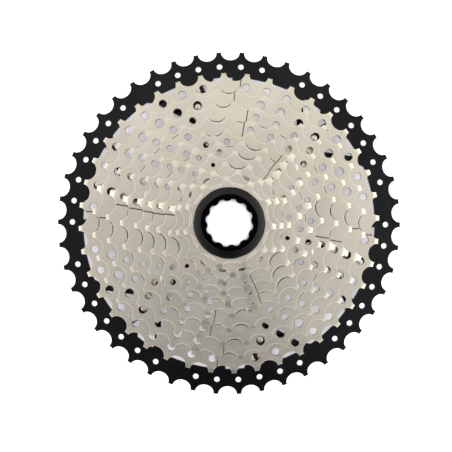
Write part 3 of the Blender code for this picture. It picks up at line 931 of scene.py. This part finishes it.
# Carriers, spacers and rivets


def join_meshes(name, meshes):
    shape = bmesh.new()
    for mesh in meshes:
        shape.from_mesh(mesh)
    joined = bpy.data.meshes.new(name)
    shape.to_mesh(joined)
    shape.free()
    return joined


def pad_outlines(teeth, centre_radius):
    length, width = ARM_PAD
    offset = RIVET_CIRCLES[teeth][1]
    outlines = []
    for arm in range(ARM_COUNT):
        angle = ARM_ANGLE + arm * ARM_STEP + offset
        sides = ((-1, -1), (1, -1), (1, 1), (-1, 1))
        outlines.append(
            [point(centre_radius + out * width / 2, angle, side * length / 2) for out, side in sides]
        )
    return outlines


def carrier_mesh(name, reach, arm_bottom, hub_heights, riveted, pad_inner_radius, trees, material):
    """A splined hub with six arms, and a pad on each arm under the last of the riveted sprockets."""
    hub_outlines = [circle(HUB_RADIUS), opening(splined_bore())]
    hub = plate_mesh(f"{name}_hub", hub_outlines, *hub_heights, trees, material, HUB_CHAMFER)
    arm_top = arm_bottom + ARM_THICKNESS
    buried = (SPLINE_ROOT_RADIUS + HUB_RADIUS) / 2
    outlines = [carrier_outline(reach), opening(circle(buried))]
    for teeth in riveted:
        outlines += rivet_openings(*RIVET_CIRCLES[teeth], RIVET_SHANK_RADIUS + RIVET_CLEARANCE)
    arms = plate_mesh(f"{name}_arms", outlines, arm_bottom, arm_top, trees, material, ARM_CHAMFER)
    lifted = riveted[-1]
    pad_shapes = pad_outlines(lifted, pad_inner_radius + ARM_PAD[1] / 2)
    pad_top = SPROCKETS[lifted].bottom - FACE_GAP
    pads = plate_mesh(f"{name}_pads", pad_shapes, arm_top - ARM_LAP, pad_top, trees, material)
    return cut(name, hub, [("UNION", arms), ("UNION", pads)])


def make_carriers(trees, materials):
    red = materials["red"]
    heights = (SPROCKETS[46].bottom, SPROCKETS[32].bottom - FACE_GAP)
    arm_bottom = SPROCKETS[46].top + FACE_GAP
    riveted = (46, 40, 36)
    large = carrier_mesh(
        "arms_large", LARGE_ARM_REACH, arm_bottom, heights, riveted, LARGE_PAD_INNER_RADIUS, trees, red
    )
    finish_piece("arms_large", large, red, "large_cluster", "red_anodised", "carrier_large")
    heights = (SPROCKETS[32].bottom, SPROCKETS[24].top - FACE_GAP)
    arm_bottom = SPROCKETS[32].top + FACE_GAP
    riveted = (32, 28, 24)
    small = carrier_mesh(
        "arms_small", SMALL_ARM_REACH, arm_bottom, heights, riveted, SMALL_PAD_INNER_RADIUS, trees, red
    )
    finish_piece("arms_small", small, red, "small_cluster", "red_anodised", "carrier_small")


def make_spacers(materials):
    levels = {
        "spacer_24_21": (SPROCKETS[24].top - FACE_GAP, SPROCKETS[21].bottom),
        "spacer_21_18": (SPROCKETS[21].top, SPROCKETS[18].bottom),
        "spacer_18_15": (SPROCKETS[18].top, SPROCKETS[15].bottom),
    }
    bore, radius = SPACER
    for name, (lower, upper) in levels.items():
        profile = ring_profile(bore, radius, lower + FACE_GAP, upper - FACE_GAP)
        mesh = turned_mesh(name, profile, RING_STEPS)
        finish_piece(f"{name}_ring", mesh, materials["red"], name, "red_anodised", name)


def rivet_mesh(name, head_radius, head_height, shank_length, head_up):
    """A rivet on the axle with its head's underside at z = 0."""
    profile = [
        (0, head_height),
        (head_radius * 0.72, head_height),
        (head_radius * 0.93, head_height * 0.75),
        (head_radius, head_height * 0.4),
        (head_radius, 0),
        (RIVET_SHANK_RADIUS, 0),
        (RIVET_SHANK_RADIUS, -shank_length),
        (0, -shank_length),
    ]
    side = 1 if head_up else -1
    return turned_mesh(name, [(radius, side * height) for radius, height in profile], RIVET_STEPS)


def rivet_ring(teeth, head_face, tail_face, trees, material, head=(RIVET_HEAD_RADIUS, RIVET_HEAD_HEIGHT)):
    """Six rivets, with their heads on head_face and their shanks ending near tail_face.

    head is the radius and the height of a head.
    """
    head_up = head_face > tail_face
    shank_length = abs(head_face - tail_face) - FACE_GAP / 2
    rivet = new_object(f"rivet_shape_{teeth}", rivet_mesh("rivet", *head, shank_length, head_up))
    circle_radius, offset = RIVET_CIRCLES[teeth]
    values = {
        "Count": ARM_COUNT,
        "First Angle": float(ARM_ANGLE + offset),
        "Step": float(ARM_STEP),
        "Radius": circle_radius,
        "Material": material,
    }
    add_nodes_modifier(rivet, trees["ring_of_copies"], values)
    mesh = plain_mesh(rivet, f"rivets_{teeth}")
    for corner in mesh.vertices:
        corner.co.z += head_face
    return mesh


def make_rivets(trees, materials):
    bright = materials["bright"]
    large_arm = SPROCKETS[46].top + FACE_GAP
    small_arm = SPROCKETS[32].top + FACE_GAP
    flush_face = SPROCKETS[40].top + CLEAR - FLUSH_HEAD[1]
    sunk_face = SPROCKETS[36].top - SUNK_DEPTH
    large = [
        rivet_ring(46, large_arm + ARM_THICKNESS, 0.0, trees, bright),
        rivet_ring(40, flush_face, large_arm, trees, bright, FLUSH_HEAD),
        rivet_ring(36, sunk_face, large_arm, trees, bright, SUNK_HEAD),
    ]
    small = [
        rivet_ring(32, SPROCKETS[32].bottom, small_arm + ARM_THICKNESS, trees, bright),
        rivet_ring(28, SPROCKETS[28].top, small_arm, trees, bright),
        rivet_ring(24, SPROCKETS[24].top, small_arm, trees, bright),
    ]
    clusters = (("large", large, (46, 40, 36)), ("small", small, (32, 28, 24)))
    for cluster, meshes, sizes in clusters:
        nodes = [f"rivet_{teeth}t_{number}" for teeth in sizes for number in range(1, ARM_COUNT + 1)]
        mesh = join_meshes(f"rivet_heads_{cluster}", meshes)
        finish_piece(f"rivet_heads_{cluster}", mesh, bright, f"{cluster}_cluster", "rivet_steel", *nodes)


# The lock ring


def wave(turn):
    """A rounded wave from 0 to 1 and back, once for each whole turn."""
    return 0.5 - 0.5 * math.cos(2 * math.pi * turn)


def make_lock_ring(materials):
    bore, radius, thickness = WASHER
    washer_bottom = SPROCKETS[11].top + FACE_GAP
    washer_top = washer_bottom + thickness
    washer_profile = ring_profile(bore, radius, washer_bottom, washer_top, 0.1 * MM)
    washer = turned_mesh("washer", washer_profile, RING_STEPS)
    bright = materials["bright"]
    finish_piece("thin_washer", washer, bright, "lock_ring_washer", "rivet_steel", "lock_ring_washer")
    flange_bottom = washer_top + FACE_GAP
    flange_top = flange_bottom + LOCK_RING_FLANGE
    thread_bottom = flange_bottom - THREAD_LENGTH
    floor = flange_top - LOCK_RING_RECESS_DEPTH
    edge = LOCK_RING_EDGE
    shoulder = flange_top - LOCK_RING_FALL
    thread_points = THREAD_POINTS * round(THREAD_LENGTH / THREAD_PITCH)
    thread_start = flange_bottom - THREAD_END
    thread_end = thread_bottom + THREAD_END
    threads = [
        (THREAD_RADIUS, thread_start + (thread_end - thread_start) * i / thread_points)
        for i in range(thread_points + 1)
    ]
    profile = [
        (LOCK_RING_RECESS_RADIUS + LOCK_RING_LIP, flange_top),
        (LOCK_RING_RADIUS - edge, shoulder),
        (LOCK_RING_RADIUS - 0.3 * edge, shoulder - 0.2 * edge),
        (LOCK_RING_RADIUS, shoulder - 0.7 * edge),
        (LOCK_RING_RADIUS, flange_bottom + LOCK_RING_FOOT_BEVEL),
        (LOCK_RING_RADIUS - LOCK_RING_FOOT_BEVEL, flange_bottom),
        (THREAD_RADIUS - THREAD_DEPTH, flange_bottom),
        *threads,
        (THREAD_RADIUS - THREAD_DEPTH, thread_bottom),
        (LOCK_RING_BLANK_RADIUS, thread_bottom),
        (LOCK_RING_BLANK_RADIUS, floor),
        (LOCK_RING_RECESS_RADIUS, floor),
        (LOCK_RING_RECESS_RADIUS, flange_top - LOCK_RING_LIP),
    ]

    def ripple(angle, radius, height):
        if radius == THREAD_RADIUS:
            turns = height / THREAD_PITCH + angle / (2 * math.pi)
            return radius - THREAD_DEPTH * wave(turns)
        if radius >= LOCK_RING_RADIUS - 0.3 * edge and height > flange_bottom:
            return radius - KNURL_DEPTH * wave(KNURL_COUNT * angle / (2 * math.pi))
        return radius

    ring = turned_mesh("lock_ring_blank", profile, 4 * KNURL_COUNT, ripple)
    shape = bmesh.new()
    socket = notched_bore()
    add_prism(shape, at_height(socket, thread_bottom - 1 * MM), at_height(socket, flange_top + 1 * MM))
    mesh = cut("lock_ring_body", ring, [("DIFFERENCE", mesh_from(shape, "tool_socket"))])
    black = materials["lock_ring"]
    finish_piece("lock_ring_shaped", mesh, black, "lock_ring", "lock_ring_black", "lock_ring")


# Materials


def new_material(name):
    material = bpy.data.materials.new(name)
    material.use_nodes = True
    material.node_tree.nodes.clear()
    return material, Tree(material.node_tree)


def end_material(tree, values):
    shader = tree.add("ShaderNodeBsdfPrincipled", {}, values)
    tree.add("ShaderNodeOutputMaterial", {}, {"Surface": shader})


def noise(tree, place, scale, detail=2.0):
    values = {"Vector": place, "Scale": scale, "Detail": detail}
    return tree.add("ShaderNodeTexNoise", {}, values, output="Fac")


def ramp(tree, factor, *stops):
    return tree.add("ShaderNodeValToRGB", {"stops": stops}, [factor], output="Color")


def mix(tree, factor, first, second):
    values = {"Factor": factor, "A": first, "B": second}
    return tree.add("ShaderNodeMix", {"data_type": "RGBA"}, values, output=2)


def attribute(tree, name):
    return tree.add("ShaderNodeAttribute", {"attribute_name": name}, output="Fac")


def stretched(tree, place, x, y, z):
    return tree.add("ShaderNodeVectorMath", {"operation": "MULTIPLY"}, [place, (x, y, z)])


def around_axle(tree, place):
    """The radius from the axle and the angle around it, as Fields."""
    x, y = tree.part(place, "X"), tree.part(place, "Y")
    radius = (x * x + y * y).math("SQRT")
    return radius, x.math("ARCTAN2", y)


def below(tree, place, height):
    """1 where the surface is lower than the given height, 0 above it."""
    return tree.part(place, "Z") < height


def metal(name, tones, painted_edge_light_and_shade, painted_wall_shade, metallic, roughness, turned=0.0, painted_shade_below=None):
    """A plated or anodised metal.

    The tint and the sheen drift slowly over the surface. turned is the share of the fine grain that is the
    rings left by turning. Chamfers have a colour of their own, painted highlight where it is lighter than the
    metal and painted shade where it is darker; cut walls have painted shade. Where a last height is given,
    the metal below it is painted nearly black, as shade.
    """
    material, tree = new_material(name)
    place = tree.add("ShaderNodeTexCoord", output="Object")
    edge, wall = attribute(tree, "edge"), attribute(tree, "wall")
    cloud = ramp(tree, noise(tree, place, 38.0, 3.0), (0.38, 0.0), (0.64, 1.0))
    specks = ramp(tree, noise(tree, place, 900.0, 2.0), (0.60, 0.0), (0.74, 1.0))
    colour = mix(tree, cloud, (*tones[0], 1), (*tones[1], 1))
    colour = mix(tree, specks * 0.25, colour, (*tones[2], 1))
    # Painted highlight and shade on the chamfers: a highlight in the red and rivet metals, shade in the
    # others.
    colour = mix(tree, edge * 0.6, colour, (*painted_edge_light_and_shade, 1))
    # Painted shade: below the given height the colour is mixed nine tenths of the way to black.
    if painted_shade_below:
        colour = mix(tree, below(tree, place, painted_shade_below) * 0.9, colour, (0, 0, 0, 1))
    streaks = noise(tree, stretched(tree, place, 1800, 1800, 160), 1.0, 2.0)
    # Painted shade on the cut walls, broken up by vertical streaks of grain.
    colour = mix(tree, wall * (0.45 + streaks * 0.5), colour, (*painted_wall_shade, 1))
    sheen = noise(tree, place, 170.0, 3.0)
    rough = roughness + (sheen - 0.5) * 0.16 + specks * 0.08 + wall * 0.08 - edge * 0.06
    radius, angle = around_axle(tree, place)
    rings = noise(tree, tree.vector(radius * 5200, angle * 0.6, 0.0), 1.0, 3.0)
    height = noise(tree, place, 4200.0, 2.0) * (1 - turned) + rings * turned + streaks * wall * 0.8
    bump = tree.add("ShaderNodeBump", {}, {"Strength": GRAIN, "Distance": 0.03 * MM, "Height": height})
    end_material(tree, {"Base Color": colour, "Metallic": metallic, "Roughness": rough, "Normal": bump})
    return material


def make_materials():
    # After its three tones, each metal gets the chamfers' colour, painted highlight where lighter and painted
    # shade where darker, then the cut walls' painted shade.
    return {
        "steel": metal(
            "nickel_plated_steel",
            ((0.84, 0.79, 0.68), (0.76, 0.72, 0.62), (0.60, 0.56, 0.48)),
            (0.46, 0.43, 0.37),
            (0.20, 0.185, 0.155),
            1.0,
            0.27,
        ),
        "black": metal(
            "black_anodised_alloy",
            ((0.019, 0.019, 0.021), (0.024, 0.024, 0.027), (0.038, 0.038, 0.043)),
            (0.005, 0.005, 0.006),
            (0.002, 0.002, 0.002),
            1.0,
            0.22,
        ),
        "red": metal(
            "dark_red_anodised_alloy",
            ((0.050, 0.006, 0.005), (0.068, 0.008, 0.007), (0.09, 0.014, 0.012)),
            (0.12, 0.018, 0.015),
            (0.030, 0.003, 0.003),
            0.7,
            0.4,
            turned=0.5,
        ),
        "bright": metal(
            "bright_rivet_steel",
            ((0.72, 0.71, 0.68), (0.64, 0.63, 0.61), (0.5, 0.49, 0.47)),
            (0.85, 0.84, 0.82),
            (0.45, 0.44, 0.42),
            1.0,
            0.28,
        ),
        "lock_ring": metal(
            "lock_ring_black_alloy",
            ((0.029, 0.027, 0.030), (0.034, 0.032, 0.035), (0.050, 0.047, 0.052)),
            (0.026, 0.025, 0.027),
            (0.006, 0.006, 0.006),
            1.0,
            0.24,
            turned=0.8,
            # Painted shade: the lock ring is nearly black from 3 mm above the smallest sprocket down, over
            # its recess floor, lower flange and thread.
            painted_shade_below=SPROCKETS[11].top + 3.0 * MM,
        ),
    }


# The studio


def make_floor():
    """A pale floor that glows by itself: white around the object, painted light in its bore, and painted
    shade beneath it, where it is greyer.
    """
    material, tree = new_material("studio_floor")
    place = tree.add("ShaderNodeTexCoord", output="Object")
    radius, _ = around_axle(tree, place)
    # Painted light and shade: white in the bore out to 12 mm, painted shade beneath the cassette, grey over
    # most of it and a lighter grey from 71 to 79 mm, then white again from 82 mm.
    shaded = (0.33, 0.32, 0.36)
    lighter_painted_shade = (0.42, 0.41, 0.47)
    painted_glow_and_shade = ramp(
        tree,
        radius / GLOW_SCALE,
        (0.058, 1.0),
        (0.066, shaded),
        (0.355, shaded),
        (0.385, lighter_painted_shade),
        (0.395, lighter_painted_shade),
        (0.412, 1.0),
    )
    base = {"Base Color": (0.8, 0.8, 0.8, 1), "Roughness": 1.0}
    end_material(tree, {**base, "Emission Color": painted_glow_and_shade, "Emission Strength": 1.0})
    shape = bmesh.new()
    bmesh.ops.create_grid(shape, x_segments=1, y_segments=1, size=FLOOR_HALF_WIDTH)
    mesh = bpy.data.meshes.new("floor")
    shape.to_mesh(mesh)
    shape.free()
    mesh.materials.append(material)
    floor = new_object("studio_floor", mesh)
    floor.location.z = -FLOOR_DEPTH


def make_world():
    """A soft sky, darkest low towards -Y, with a bright soft box at each side along X."""
    world = bpy.data.worlds.new("studio")
    world.use_nodes = True
    world.node_tree.nodes.clear()
    tree = Tree(world.node_tree)
    place = tree.add("ShaderNodeTexCoord", output="Generated")
    x, y = tree.part(place, "X"), tree.part(place, "Y")
    lean = (y * SKY_LEAN[1] + x * SKY_LEAN[0]) * 0.5 + 0.5
    sky = ramp(
        tree,
        lean,
        (0.0, (0.50, 0.50, 0.53)),
        (0.22, (0.14, 0.14, 0.15)),
        (0.35, (0.06, 0.06, 0.065)),
        (0.40, (0.22, 0.22, 0.26)),
        (0.47, (0.49, 0.48, 0.50)),
        (0.60, (0.54, 0.52, 0.49)),
        (0.74, (0.52, 0.51, 0.48)),
        (0.86, (0.45, 0.45, 0.44)),
        (1.0, (0.50, 0.50, 0.50)),
    )
    right = ramp(tree, x, (0.08, 0.0), (0.20, 0.26), (0.42, 0.22), (0.52, 1.0), (0.80, 1.0), (0.9, 0.3))
    left = ramp(tree, x * -1, (0.08, 0.0), (0.16, 0.20), (0.46, 0.22), (0.56, 1.0), (0.80, 1.0), (0.9, 0.3))
    sky = mix(tree, right + left * 0.8, sky, (*SIDE_GLOW, 1))
    light = tree.add("ShaderNodeBackground", {}, {"Color": sky, "Strength": 1.0})
    tree.add("ShaderNodeOutputWorld", {}, {"Surface": light})
    bpy.context.scene.world = world


def make_key_light():
    light = bpy.data.lights.new("key", "AREA")
    light.shape = "DISK"
    light.size = KEY_LIGHT_SIZE
    light.energy = KEY_LIGHT_WATTS
    key = new_object("key_light", light)
    key.location = KEY_LIGHT_PLACE
    key.rotation_euler = (-key.location).to_track_quat("-Z", "Y").to_euler()


def make_camera():
    camera = bpy.data.cameras.new("camera")
    camera.lens = CAMERA_LENS
    camera.sensor_width = SENSOR_WIDTH
    camera.clip_start = 0.01
    camera.dof.use_dof = False
    holder = new_object("camera", camera)
    holder.location = (*CAMERA_ASIDE, CAMERA_HEIGHT)
    bpy.context.scene.camera = holder


def main():
    trees = {
        "toothed_edge": toothed_edge_tree(),
        "chamfered_plate": chamfered_plate_tree(),
        "ring_of_copies": ring_of_copies_tree(),
    }
    materials = make_materials()
    make_sprockets(trees, materials)
    make_carriers(trees, materials)
    make_spacers(materials)
    make_rivets(trees, materials)
    make_lock_ring(materials)
    make_floor()
    make_world()
    make_key_light()
    make_camera()
    bpy.context.scene.view_settings.view_transform = "Standard"


main()
